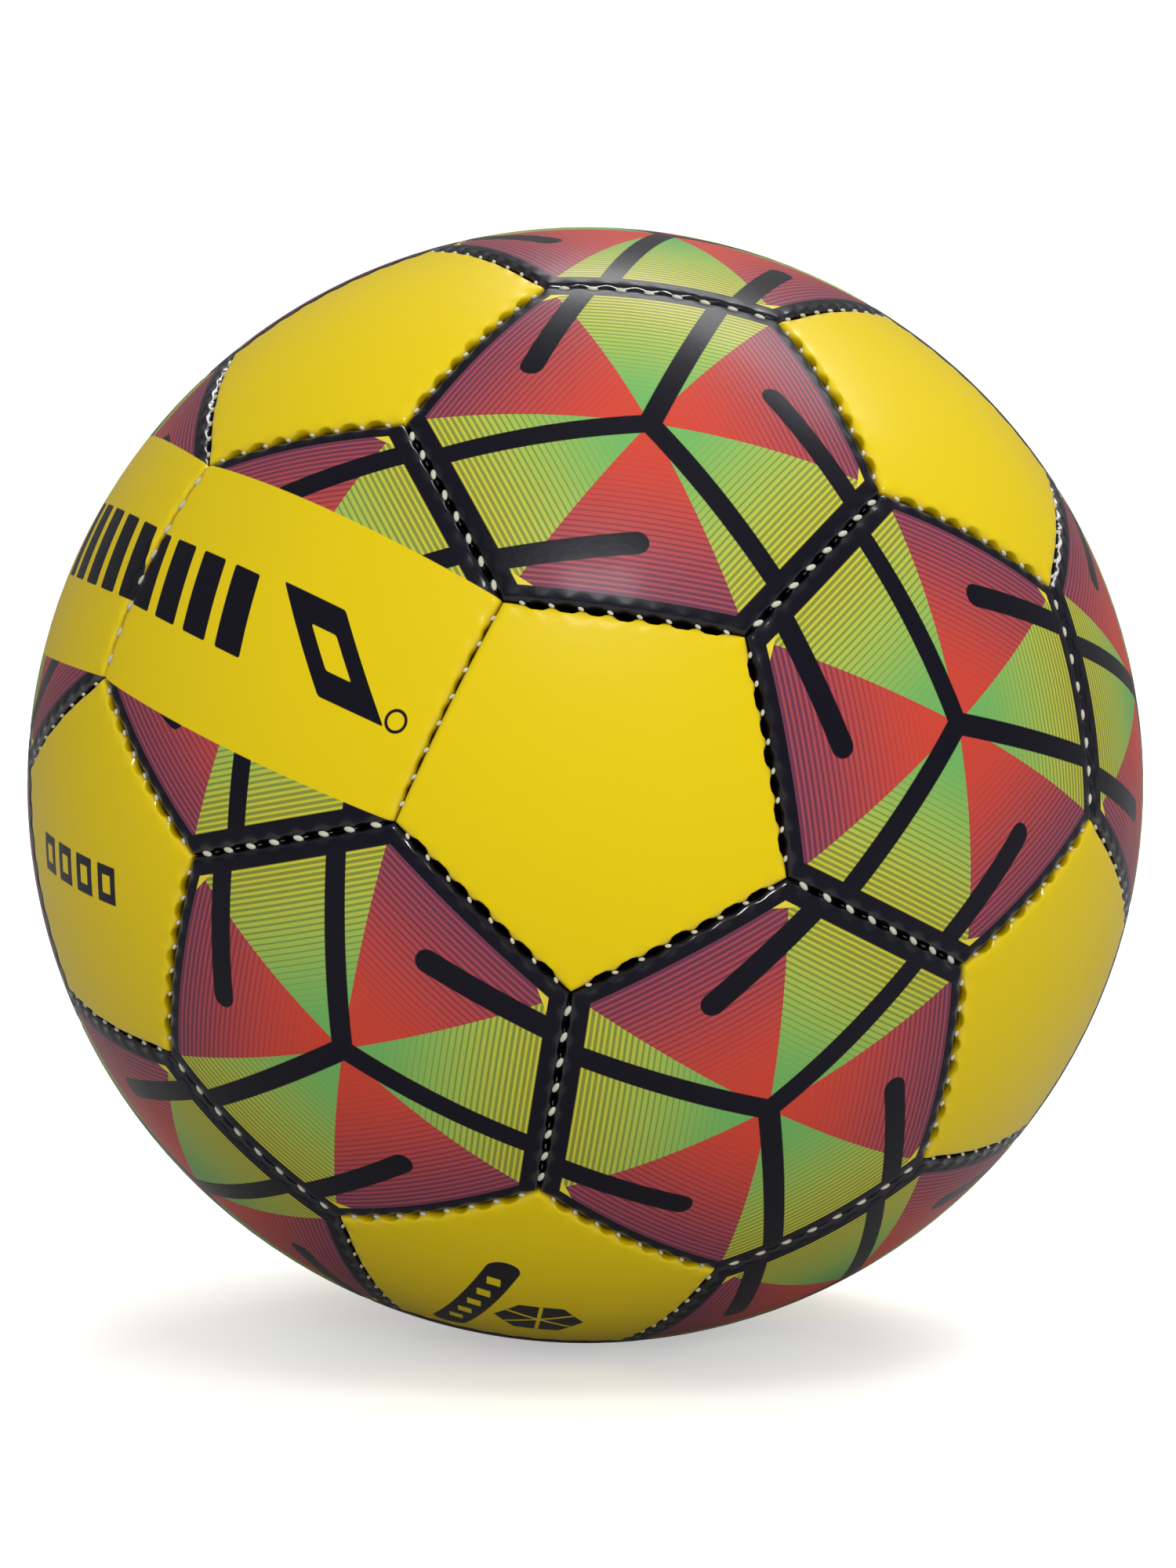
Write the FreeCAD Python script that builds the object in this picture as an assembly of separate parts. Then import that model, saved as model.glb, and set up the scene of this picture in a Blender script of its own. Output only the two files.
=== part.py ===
import FreeCAD, Part
import math
import os

# A size 5 soccer ball of 32 stitched panels, as it comes apart on a bench.
#
# 12 pentagon and 20 hexagon covers, each with a cloth backing glued inside it, are sewn edge to edge
# with their rims turned in. A rubber bladder fills the shell. Its valve stem stands in a hole in one
# hexagon, and a rubber core with the needle's bore plugs the stem.
#
# Millimetres. The origin is the ball's centre, +Z is up and the front pentagon faces -Y.

# The ball
BALL_RADIUS = 110.0  # 691 mm round, size 5
COVER_THICKNESS = 1.3  # printed synthetic leather
BACKING_THICKNESS = 1.2  # glued plies of woven cloth
COVER_EDGE_RADIUS = 2.0  # where a cover rolls over into its seam

# The seams
SEAM_GAP = 0.1  # between two covers' turned-in rims
THREAD_DIAMETER = 0.7
TIE_SWELL = 0.1  # a tie's diameter over the thread's: two strands drawn tight in one hole
TIE_END = 0.05  # from the outside of the thread out to the tie's end
THREAD_HOLE_CLEARANCE = 0.1  # added to the tie's radius
THREAD_BACKING_CLEARANCE = 0.4  # from the running thread out to the backing
RIM_MARGIN = 1.0  # rim left inward of the thread holes
STITCH_PITCH = 5.2
THREAD_TAIL = 0.6  # from the last stitch to the thread's end
RUN_SPACING = 0.1  # between two straight runs' ends, inside a tie
THREAD_SIDES = 6  # flats that stand for the round of the thread
THREAD_END_CLEARANCE = 0.1  # between two threads' ends in a pentagon's corner

# The bladder and its valve
BLADDER_WALL = 0.6
BLADDER_CLEARANCE = 0.2  # between the rims' inner ends and the bladder
PATCH_DIAMETER = 36.0
PATCH_CLEARANCE = 0.1  # on each side of the patch
STEM_DIAMETER = 9.0
STEM_LENGTH = 16.0
STEM_RECESS = 0.3  # stem's top below the ball's surface
STEM_HOLE_CLEARANCE = 0.1  # around the stem, in cover, backing and patch
STEM_FLANGE_DIAMETER = 28.0
STEM_FLANGE_THICKNESS = 1.6
STEM_FLOOR = 1.2  # ring that the core stands on
STEM_AIR_HOLE_DIAMETER = 3.0
CORE_DIAMETER = 5.0
CORE_CLEARANCE = 0.03  # radial, core in stem
CORE_END_CLEARANCE = 0.2  # under the core
CORE_HEAD_DIAMETER = 6.6
CORE_HEAD_THICKNESS = 1.2
NEEDLE_BORE_RADIUS = 1.05
NEEDLE_BORE_DEPTH = 8.0
NEEDLE_LEAD_IN = 0.6  # countersink at the bore's mouth
SLIT_WIDTH = 0.15
SLIT_LENGTH = 3.0

# How the ball lies, in degrees
FRONT_AZIMUTH = 1.5  # front pentagon's centre, turned from -Y towards +X
FRONT_ELEVATION = 5.9  # and raised above the horizon
FRONT_TWIST = -27.7  # one of its corners, turned from up, clockwise seen from outside
VALVE_AZIMUTH = 200.0  # the hexagon nearest this direction holds the valve
VALVE_ELEVATION = 27.0

# Sizes that follow from those above
COVER_INNER_RADIUS = BALL_RADIUS - COVER_THICKNESS
BACKING_INNER_RADIUS = COVER_INNER_RADIUS - BACKING_THICKNESS
TIE_DIAMETER = THREAD_DIAMETER + TIE_SWELL
STITCH_RADIUS = BACKING_INNER_RADIUS - THREAD_BACKING_CLEARANCE - TIE_DIAMETER / 2
THREAD_HOLE_RADIUS = TIE_DIAMETER / 2 + THREAD_HOLE_CLEARANCE
THREAD_SIDE = SEAM_GAP / 2 + COVER_THICKNESS + BACKING_THICKNESS + TIE_DIAMETER / 2
RIM_INNER_RADIUS = STITCH_RADIUS - THREAD_HOLE_RADIUS - RIM_MARGIN
BLADDER_RADIUS = RIM_INNER_RADIUS - BLADDER_CLEARANCE
BLADDER_INNER_RADIUS = BLADDER_RADIUS - BLADDER_WALL
STEM_TOP = BALL_RADIUS - STEM_RECESS
STEM_BOTTOM = STEM_TOP - STEM_LENGTH
CORE_BOTTOM = STEM_BOTTOM + STEM_FLOOR + CORE_END_CLEARANCE
STEM_HOLE_RADIUS = STEM_DIAMETER / 2 + STEM_HOLE_CLEARANCE

# Truncated icosahedron: every seam spans the same angle at the ball's centre
EDGE_PER_RADIUS = 4 / math.sqrt(58 + 18 * math.sqrt(5))
FAR = 2 * BALL_RADIUS  # longer than anything that is cut

UP = FreeCAD.Vector(0, 0, 1)


# ---------------------------------------------------------------- directions


def direction(azimuth, elevation):
    """Unit vector at azimuth from -Y towards +X, and elevation above the horizon, in degrees."""
    a, e = math.radians(azimuth), math.radians(elevation)
    return FreeCAD.Vector(math.sin(a) * math.cos(e), -math.cos(a) * math.cos(e), math.sin(e))


def unit(vector):
    return FreeCAD.Vector(vector).normalize()


def facing(centre, towards):
    """Rotation that takes +Z to centre, and +X to the side of centre on which towards lies."""
    side = towards - centre * towards.dot(centre)
    return FreeCAD.Rotation(side, centre.cross(side), centre, "ZXY")


def pentagon_centres():
    """The 12 directions of an icosahedron's corners, turned to how the ball lies."""
    ring = math.degrees(math.atan(2))
    corners = [FreeCAD.Vector(0, 0, 1)]
    for step in range(5):
        for start, polar in ((0, ring), (36, 180 - ring)):
            a, p = math.radians(start + 72 * step), math.radians(polar)
            corners.append(
                FreeCAD.Vector(math.sin(p) * math.cos(a), math.sin(p) * math.sin(a), math.cos(p))
            )
    corners.append(FreeCAD.Vector(0, 0, -1))
    front = direction(FRONT_AZIMUTH, FRONT_ELEVATION)
    twist = FreeCAD.Rotation(front, -FRONT_TWIST)
    lie = twist.multiply(facing(front, UP))
    return [lie.multVec(corner) for corner in corners]


def neighbours(centres):
    """For each pentagon, the five pentagons nearest to it."""
    return [
        sorted(range(len(centres)), key=lambda other: -centre.dot(centres[other]))[1:6]
        for centre in centres
    ]


def layout():
    """({pentagon: (centre, corner)}, {hexagon: ...}, [(seam middle, seam direction)] twice).

    A seam between two hexagons lies on the line from one pentagon to the next.
    """
    centres = pentagon_centres()
    near = neighbours(centres)
    corner = {
        (i, j): unit(centres[i] * 2 + centres[j]) for i in range(12) for j in near[i]
    }
    pentagons = [(centres[i], corner[i, near[i][0]]) for i in range(12)]
    hexagons, pentagon_seams, hexagon_seams = [], [], []
    for i in range(12):
        for j in near[i]:
            if i < j:
                ends = corner[i, j], corner[j, i]
                hexagon_seams.append((unit(ends[0] + ends[1]), unit(ends[1] - ends[0])))
            for k in near[i]:
                if k not in near[j]:
                    continue
                if j < k:
                    ends = corner[i, j], corner[i, k]
                    pentagon_seams.append((unit(ends[0] + ends[1]), unit(ends[1] - ends[0])))
                if i < j < k:
                    hexagons.append((unit(centres[i] + centres[j] + centres[k]), corner[i, j]))
    return pentagons, hexagons, pentagon_seams, hexagon_seams


def top_down(panels):
    """Panels in a bench order: from the top of the ball to the bottom."""
    return sorted(panels, key=lambda panel: -panel[0].z)


# ---------------------------------------------------------------- solids in a panel's frame, +Z out


def ball(radius):
    """A full sphere whose poles and seam lie away from +Z."""
    sphere = Part.makeSphere(radius)
    sphere.rotate(FreeCAD.Vector(0, 0, 0), FreeCAD.Vector(0, 1, 0), 90)
    return sphere


def shell(outer_radius, inner_radius):
    return ball(outer_radius).cut(ball(inner_radius))


def rod(radius, bottom, top):
    return Part.makeCylinder(radius, top - bottom, FreeCAD.Vector(0, 0, bottom))


def corner_angle(sides):
    """Angle at the ball's centre from a panel's middle to its corner, in radians."""
    return math.asin(EDGE_PER_RADIUS / (2 * math.sin(math.pi / sides)))


def seam_angle(sides):
    """Angle from a panel's middle to the plane of its seam, in radians."""
    return math.atan(math.tan(corner_angle(sides)) * math.cos(math.pi / sides))


def wedge(sides, inset):
    """The pyramid from the ball's centre through a panel, with each seam plane moved in by inset."""
    tip = FreeCAD.Vector(0, 0, inset / math.sin(seam_angle(sides)))
    reach = FAR * math.tan(corner_angle(sides))
    rim = []
    for step in range(sides):
        a = 2 * math.pi * step / sides
        rim.append(tip + FreeCAD.Vector(reach * math.cos(a), reach * math.sin(a), FAR))
    faces = [Part.Face(Part.makePolygon(rim + rim[:1]))]
    for step in range(sides):
        ends = rim[step], rim[(step + 1) % sides]
        faces.append(Part.Face(Part.makePolygon([tip, ends[0], ends[1], tip])))
    return Part.makeSolid(Part.makeShell(faces))


def seam_turns(sides):
    """Rotations that carry a panel's frame to each of its seams: +Z to the seam's middle and +X
    across the seam, outwards."""
    tilt = math.degrees(seam_angle(sides))
    for step in range(sides):
        spin = FreeCAD.Rotation(UP, 360 * (step + 0.5) / sides)
        yield spin.multiply(FreeCAD.Rotation(FreeCAD.Vector(0, 1, 0), tilt))


def stitch_angles():
    """Angle of each stitch along its seam, from the seam's middle, in degrees.

    A seam has as many as fit at the pitch. The limit is a pentagon's corner, where the threads of
    two seams come nearest to each other.
    """
    half_corner = math.radians(54)
    apart = (TIE_DIAMETER + THREAD_END_CLEARANCE) / 2
    end = (apart + THREAD_SIDE * math.cos(half_corner)) / math.sin(half_corner)
    seam = 2 * math.asin(EDGE_PER_RADIUS / 2) * STITCH_RADIUS
    count = 1 + int((seam - 2 * (end + THREAD_TAIL)) / STITCH_PITCH)
    step = math.degrees(STITCH_PITCH / STITCH_RADIUS)
    return [(n - (count - 1) / 2) * step for n in range(count)]


def thread_holes(sides):
    """Drills for the thread, through every rim of a panel."""
    depth = SEAM_GAP + COVER_THICKNESS + BACKING_THICKNESS + TIE_DIAMETER
    drills = []
    for turn in seam_turns(sides):
        for angle in stitch_angles():
            along = FreeCAD.Rotation(FreeCAD.Vector(1, 0, 0), angle)
            drill = Part.makeCylinder(
                THREAD_HOLE_RADIUS,
                depth + SEAM_GAP,
                FreeCAD.Vector(SEAM_GAP, 0, STITCH_RADIUS),
                FreeCAD.Vector(-1, 0, 0),
            )
            drill.Placement = FreeCAD.Placement(FreeCAD.Vector(), turn.multiply(along))
            drills.append(drill)
    return Part.makeCompound(drills)


def layer(sides, outer_radius, thickness, inset):
    """A domed panel of one material with its rim turned in: it fills from inset to inset plus
    thickness of each seam plane, down to the rim's inner end."""
    outside = wedge(sides, inset).common(ball(outer_radius))
    hollow = wedge(sides, inset + thickness).common(ball(outer_radius - thickness))
    return outside.cut(hollow).cut(ball(RIM_INNER_RADIUS))


def edge_roll(inset):
    """What is cut from a seam plane's outer edge to round it, for a seam with its middle on +Z and
    its panel on the -X side: a ring about the X axis, hollowed to a quarter of a tube."""
    middle_x = -inset - COVER_EDGE_RADIUS
    middle_z = math.sqrt((BALL_RADIUS - COVER_EDGE_RADIUS) ** 2 - middle_x**2)
    middle = FreeCAD.Vector(middle_x, 0, middle_z)
    outwards = unit(middle)
    halfway = unit(outwards + FreeCAD.Vector(1, 0, 0))
    on_rim = middle + FreeCAD.Vector(COVER_EDGE_RADIUS, 0, 0)
    on_dome = middle + outwards * COVER_EDGE_RADIUS
    arc = Part.Arc(on_rim, middle + halfway * COVER_EDGE_RADIUS, on_dome).toShape()
    past = COVER_EDGE_RADIUS
    above = on_dome + outwards * past
    corner = FreeCAD.Vector(on_rim.x + past, 0, above.z)
    beside = FreeCAD.Vector(on_rim.x + past, 0, on_rim.z)
    straight = Part.makePolygon([on_dome, above, corner, beside, on_rim])
    profile = Part.Face(Part.Wire([arc] + straight.Edges))
    return profile.revolve(FreeCAD.Vector(), FreeCAD.Vector(1, 0, 0), 360)


def cover(sides):
    """A panel's printed cover, with its outer edge rolled over and thread holes in its rim."""
    inset = SEAM_GAP / 2
    plain = layer(sides, BALL_RADIUS, COVER_THICKNESS, inset)
    roll = edge_roll(inset)
    rolls = []
    for turn in seam_turns(sides):
        rolls.append(placed(roll, turn))
    return plain.cut(rolls).cut(thread_holes(sides))


def backing(sides):
    """The cloth glued inside a cover, lining its dome and its rim."""
    plies = layer(sides, COVER_INNER_RADIUS, BACKING_THICKNESS, SEAM_GAP / 2 + COVER_THICKNESS)
    return plies.cut(thread_holes(sides))


def stem_hole(solid):
    """The solid with the valve stem's hole punched through its middle."""
    return solid.cut(rod(STEM_HOLE_RADIUS, 0, FAR))


# ---------------------------------------------------------------- thread, bladder and valve


def thread_bar(diameter, start, along, length):
    """A straight length of thread with flats in place of its round, two of them upright."""
    side = unit(along.cross(start))
    up = side.cross(along)
    corners = []
    for number in range(THREAD_SIDES):
        turn = math.radians(360 / THREAD_SIDES * (number + 0.5))
        corner_radius = diameter / 2 / math.cos(math.pi / THREAD_SIDES)
        corner = side * math.cos(turn) + up * math.sin(turn)
        corners.append(start + corner * corner_radius)
    section = Part.Face(Part.makePolygon(corners + corners[:1]))
    return section.extrude(along * length)


def seam_thread():
    """One seam's lockstitch, with the seam's middle on +Z and the seam running along Y: a thread
    along each side, straight from stitch to stitch, and a tie through the rims at every stitch.
    A tie is thicker than the thread, and takes in the ends of the straight runs."""
    across = FreeCAD.Vector(1, 0, 0)
    past = THREAD_DIAMETER / 2 + TIE_END
    places = []
    for angle in stitch_angles():
        a = math.radians(angle)
        places.append(FreeCAD.Vector(0, STITCH_RADIUS * math.sin(a), STITCH_RADIUS * math.cos(a)))
    pieces = []
    for place in places:
        start = place - across * (THREAD_SIDE + past)
        pieces.append(thread_bar(TIE_DIAMETER, start, across, 2 * (THREAD_SIDE + past)))
    for start, end in zip(places, places[1:]):
        along = unit(end - start)
        before = THREAD_TAIL if start is places[0] else -RUN_SPACING / 2
        after = THREAD_TAIL if end is places[-1] else -RUN_SPACING / 2
        length = start.distanceToPoint(end) + before + after
        for side in (-THREAD_SIDE, THREAD_SIDE):
            bar_start = start - along * before
            bar = thread_bar(THREAD_DIAMETER, bar_start, along, length)
            bar.translate(across * side)
            pieces.append(bar)
    return pieces[0].multiFuse(pieces[1:])


def bladder():
    """The inflated bladder, open where the valve stem passes through its wall."""
    return shell(BLADDER_RADIUS, BLADDER_INNER_RADIUS).cut(rod(STEM_DIAMETER / 2, 0, FAR))


def valve_patch():
    """The washer that holds the bladder's valve to the backing, in the space between the two."""
    washer = shell(BACKING_INNER_RADIUS - PATCH_CLEARANCE, BLADDER_RADIUS + PATCH_CLEARANCE)
    return stem_hole(washer.common(rod(PATCH_DIAMETER / 2, 0, FAR)))


def valve_stem():
    """The rubber stem, with a flange moulded to the inside of the bladder and a seat for the core."""
    flange = shell(BLADDER_INNER_RADIUS, BLADDER_INNER_RADIUS - STEM_FLANGE_THICKNESS)
    flange = flange.common(rod(STEM_FLANGE_DIAMETER / 2, 0, FAR))
    stem = rod(STEM_DIAMETER / 2, STEM_BOTTOM, STEM_TOP)
    seat_radius = CORE_DIAMETER / 2 + CORE_CLEARANCE
    head_radius = CORE_HEAD_DIAMETER / 2 + CORE_CLEARANCE
    seat = rod(seat_radius, STEM_BOTTOM + STEM_FLOOR, FAR)
    air_hole = rod(STEM_AIR_HOLE_DIAMETER / 2, 0, FAR)
    head_seat = rod(head_radius, STEM_TOP - CORE_HEAD_THICKNESS, FAR)
    return flange.fuse(stem).cut(seat).cut(air_hole).cut(head_seat)


def valve_core():
    """The plug, with the needle's bore from the top and a closed slit from there to the inside."""
    body = rod(CORE_DIAMETER / 2, CORE_BOTTOM, STEM_TOP)
    head = rod(CORE_HEAD_DIAMETER / 2, STEM_TOP - CORE_HEAD_THICKNESS, STEM_TOP)
    bore = rod(NEEDLE_BORE_RADIUS, STEM_TOP - NEEDLE_BORE_DEPTH, FAR)
    lead_in = Part.makeCone(
        NEEDLE_BORE_RADIUS,
        NEEDLE_BORE_RADIUS + NEEDLE_LEAD_IN,
        NEEDLE_LEAD_IN,
        FreeCAD.Vector(0, 0, STEM_TOP - NEEDLE_LEAD_IN),
    )
    slit = Part.makeBox(
        SLIT_LENGTH,
        SLIT_WIDTH,
        STEM_TOP - NEEDLE_BORE_DEPTH / 2,
        FreeCAD.Vector(-SLIT_LENGTH / 2, -SLIT_WIDTH / 2, 0),
    )
    slit = slit.common(rod(CORE_DIAMETER, 0, STEM_TOP - NEEDLE_BORE_DEPTH))
    return body.fuse(head).removeSplitter().cut(bore).cut(lead_in).cut(slit)


# ---------------------------------------------------------------- the ball


def placed(solid, rotation):
    copy = solid.copy()
    copy.Placement = FreeCAD.Placement(FreeCAD.Vector(), rotation)
    return copy


def write(name, *solids):
    """One STEP for one node, which holds one solid or a group of separate ones."""
    shape = solids[0] if len(solids) == 1 else Part.makeCompound(list(solids))
    bad = [solid for solid in shape.Solids if not solid.isValid() or solid.Volume <= 0]
    print(f"{name}: {len(shape.Solids)} solids, {shape.Volume / 1000:.2f} cm3, {len(bad)} faulty")
    shape.exportStep(f"parts/{name}.step")


def main():
    os.makedirs("parts", exist_ok=True)
    pentagons, hexagons, pentagon_seams, hexagon_seams = layout()
    towards_valve = direction(VALVE_AZIMUTH, VALVE_ELEVATION)
    valve_panel = max(hexagons, key=lambda panel: panel[0].dot(towards_valve))

    for name, sides, panels in (("pentagon", 5, pentagons), ("hexagon", 6, hexagons)):
        one_cover, one_backing = cover(sides), backing(sides)
        backings = []
        number = 0
        for panel in top_down(panels):
            turn = facing(*panel)
            has_valve = panel is valve_panel
            cover_here = stem_hole(one_cover) if has_valve else one_cover
            backing_here = stem_hole(one_backing) if has_valve else one_backing
            backings.append(placed(backing_here, turn))
            number += 1
            write(f"{name}_cover_{number:02d}", placed(cover_here, turn))
            if has_valve:
                print(f"{name}_cover_{number:02d} holds the valve, facing {tuple(panel[0])}")
        write(f"{name}_backings", *backings)

    thread = seam_thread()
    for name, seams in (("pentagon", pentagon_seams), ("hexagon", hexagon_seams)):
        turns = [
            FreeCAD.Rotation(along.cross(middle), along, middle, "ZYX") for middle, along in seams
        ]
        write(f"{name}_seam_threads", *[placed(thread, turn) for turn in turns])

    valve_turn = facing(*valve_panel)
    for name, make in (
        ("bladder", bladder),
        ("valve_patch", valve_patch),
        ("valve_stem", valve_stem),
        ("valve_core", valve_core),
    ):
        write(name, placed(make(), valve_turn))


main()
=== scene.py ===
# %% [markdown]
# # A stitched soccer ball
# The ball is 32 covers sewn edge to edge: 12 plain pentagons and 20 printed hexagons.
# The CAD model gives every cover its place. Here each cover becomes a thin sheet with a rolled rim,
# and the seams get the thread that shows between them.

# %% Load the frame
import math

import bmesh
import bpy
import numpy as np
from mathutils import Matrix, Quaternion, Vector


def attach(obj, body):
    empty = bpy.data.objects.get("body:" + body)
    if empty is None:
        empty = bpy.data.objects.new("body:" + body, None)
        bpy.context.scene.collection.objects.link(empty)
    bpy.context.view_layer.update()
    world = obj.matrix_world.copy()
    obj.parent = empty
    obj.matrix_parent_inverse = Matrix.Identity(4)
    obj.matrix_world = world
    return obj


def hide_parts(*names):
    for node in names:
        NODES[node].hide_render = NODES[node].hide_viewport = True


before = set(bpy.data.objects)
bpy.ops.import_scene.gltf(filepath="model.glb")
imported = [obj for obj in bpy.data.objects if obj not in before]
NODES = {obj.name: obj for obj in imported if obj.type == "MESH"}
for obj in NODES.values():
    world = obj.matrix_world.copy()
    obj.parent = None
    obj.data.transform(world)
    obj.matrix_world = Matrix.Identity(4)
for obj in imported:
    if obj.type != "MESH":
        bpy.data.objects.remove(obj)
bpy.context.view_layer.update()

# %% [markdown]
# The ball's radius and the direction of every cover are read from the CAD nodes.
# A cover is symmetric, so the middle of its faces, weighted by their area, lies on its own axis.

# %% Measure the ball
def face_middles(node):
    """Middles and areas of a CAD node's faces."""
    faces = NODES[node].data.polygons
    middles = np.empty(len(faces) * 3)
    areas = np.empty(len(faces))
    faces.foreach_get("center", middles)
    faces.foreach_get("area", areas)
    return middles.reshape(-1, 3), areas


def facing(node):
    """Unit vector from the ball's centre to the middle of a cover."""
    middles, areas = face_middles(node)
    return Vector(areas @ middles).normalized()


PENTAGONS = {name: facing(name) for name in sorted(NODES) if name.startswith("pentagon_cover")}
HEXAGONS = {name: facing(name) for name in sorted(NODES) if name.startswith("hexagon_cover")}
corners = np.array([v.co for v in NODES["hexagon_cover_01"].data.vertices])
BALL = float(np.linalg.norm(corners, axis=1).max())
FRONT = max(PENTAGONS, key=lambda name: -PENTAGONS[name].y)
print(f"radius {BALL * 1000:.2f} mm, {len(PENTAGONS)} pentagons, {len(HEXAGONS)} hexagons, front {FRONT}")

# %% [markdown]
# A truncated icosahedron has one edge length. Each kind of panel follows from it: how far its corners
# and its sides lie from its middle, its height over the ball's centre and the tilt of its seams.
# The flat panel is the sheet as it was cut and printed, before the bladder rounded it.

# %% Panel geometry
EDGE = BALL * 4 / math.sqrt(58 + 18 * math.sqrt(5))


class Flat:
    """A flat panel: its corner radius, height over the ball's centre, distance to a side and tilt."""

    def __init__(self, sides):
        self.sides = sides
        self.radius = EDGE / (2 * math.sin(math.pi / sides))
        self.height = math.sqrt(BALL**2 - self.radius**2)
        self.apothem = self.radius * math.cos(math.pi / sides)
        self.tilt = math.atan(self.apothem / self.height)


PENTAGON, HEXAGON = Flat(5), Flat(6)
print(f"edge {EDGE * 1000:.2f} mm, hexagon apothem {HEXAGON.apothem * 1000:.2f} mm")

# %% [markdown]
# Operators act on whatever is selected, so every step starts by selecting just its own piece.

# %% Small helpers
MM = 0.001


def only(piece):
    """Makes a piece the one selected and active object."""
    for other in bpy.context.selected_objects:
        other.select_set(False)
    piece.select_set(True)
    bpy.context.view_layer.objects.active = piece
    return piece


def edit(piece, mode="VERT"):
    """Opens a piece in edit mode and returns its editable mesh."""
    only(piece)
    bpy.ops.object.mode_set(mode="EDIT")
    bpy.ops.mesh.select_mode(type=mode)
    return bmesh.from_edit_mesh(piece.data)


def select_vertices(piece, test):
    """In edit mode, selects the vertices that pass a test and returns how many there are."""
    mesh = bmesh.from_edit_mesh(piece.data)
    bpy.ops.mesh.select_all(action="DESELECT")
    count = 0
    for vertex in mesh.verts:
        if test(vertex):
            vertex.select_set(True)
            count += 1
    mesh.select_flush(True)
    bmesh.update_edit_mesh(piece.data)
    return count


def done(piece):
    bpy.ops.object.mode_set(mode="OBJECT")
    return piece


def named(name):
    piece = bpy.context.object
    piece.name = piece.data.name = name
    return piece


def modify(piece, kind, **values):
    """Adds a modifier with these values and applies it."""
    only(piece)
    modifier = piece.modifiers.new(kind.title(), kind)
    for key, value in values.items():
        setattr(modifier, key, value)
    bpy.ops.object.modifier_apply(modifier=modifier.name)


def copy_at(piece, name, rotation):
    """A copy with its own mesh, turned about the ball's centre, with the turn put in its mesh."""
    only(piece)
    bpy.ops.object.duplicate(linked=False)
    copy = named(name)
    copy.rotation_mode = "QUATERNION"
    copy.rotation_quaternion = rotation
    bpy.ops.object.transform_apply(location=False, rotation=True, scale=False)
    return copy


def turn_to(centre, towards):
    """Rotation that takes +Z to centre, and +Y to the side of centre on which towards lies."""
    up = (towards - centre * towards.dot(centre)).normalized()
    return Matrix((up.cross(centre), up, centre)).transposed().to_quaternion()


# %% [markdown]
# The camera stands about five ball widths away with a long lens, a little above the ball's middle,
# so the ball is drawn with hardly any perspective.

# %% Camera
CAMERA_DISTANCE = 9.993 * BALL
CAMERA_RISE = math.radians(6)
LENS_LENGTH = 127.4  # millimetres, for a sensor of the usual width
LENS_SHIFT = (0.0017, 0.0007)

lens = bpy.data.cameras.new("camera")
lens.lens = LENS_LENGTH
lens.shift_x, lens.shift_y = LENS_SHIFT
camera = bpy.data.objects.new("camera", lens)
bpy.context.collection.objects.link(camera)
camera.location = (0, -CAMERA_DISTANCE * math.cos(CAMERA_RISE), CAMERA_DISTANCE * math.sin(CAMERA_RISE))
camera.rotation_euler = (math.pi / 2 - CAMERA_RISE, 0, 0)
bpy.context.scene.camera = camera
print("camera at", [round(x, 3) for x in camera.location])

# %% [markdown]
# ## Materials
# A cover is a coated sheet: a fine pebble grain under a clear gloss, with the print between the two.
# Each effect that several finishes share is one node group. A small class lays the nodes out in
# reading order, so that a formula in the script looks like the formula it makes.

# %% Node helpers
REFLECTED = 0.84  # share of the light that falls on it that the brightest ink gives back


def paint(red, green, blue):
    """Linear colour from the values of a screen colour, 0 to 255."""
    def linear(value):
        value /= 255
        return REFLECTED * (value / 12.92 if value <= 0.04045 else ((value + 0.055) / 1.055) ** 2.4)
    return (linear(red), linear(green), linear(blue), 1)


class Net:
    """Adds nodes to a tree. Each method returns the socket that carries its result."""

    def __init__(self, tree):
        self.tree = tree

    def node(self, kind, **values):
        node = self.tree.nodes.new(kind)
        node.location = (200 * (len(self.tree.nodes) % 12), -200 * (len(self.tree.nodes) // 12))
        for key, value in values.items():
            setattr(node, key, value)
        return node

    def join(self, value, socket):
        if isinstance(value, bpy.types.NodeSocket):
            self.tree.links.new(value, socket)
        else:
            socket.default_value = value

    def math(self, operation, *values, clamp=False):
        node = self.node("ShaderNodeMath", operation=operation, use_clamp=clamp)
        for value, socket in zip(values, node.inputs):
            self.join(value, socket)
        return node.outputs[0]

    def vector(self, operation, *values):
        node = self.node("ShaderNodeVectorMath", operation=operation)
        for value, socket in zip(values, node.inputs):
            self.join(value, socket)
        return node.outputs["Value" if operation in ("LENGTH", "DOT_PRODUCT") else "Vector"]

    def mix(self, share, first, second, blend="MIX"):
        node = self.node("ShaderNodeMix", data_type="RGBA", blend_type=blend)
        self.join(share, node.inputs["Factor"])
        self.join(first, node.inputs[6])
        self.join(second, node.inputs[7])
        return node.outputs[2]

    def ramp(self, value, start, end, low=0.0, high=1.0):
        """value between start and end, smoothly stretched to low and high."""
        node = self.node("ShaderNodeMapRange", interpolation_type="SMOOTHSTEP")
        names = ("Value", "From Min", "From Max", "To Min", "To Max")
        for item, name in zip((value, start, end, low, high), names):
            self.join(item, node.inputs[name])
        return node.outputs[0]

    def noise(self, where, scale, detail=2.0, roughness=0.5):
        node = self.node("ShaderNodeTexNoise")
        names = ("Vector", "Scale", "Detail", "Roughness")
        for item, name in zip((where, scale, detail, roughness), names):
            self.join(item, node.inputs[name])
        return node.outputs["Fac"]

    def group(self, tree, **values):
        node = self.node("ShaderNodeGroup", node_tree=tree)
        for name, value in values.items():
            self.join(value, node.inputs[name.replace("_", " ")])
        return node.outputs


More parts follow.
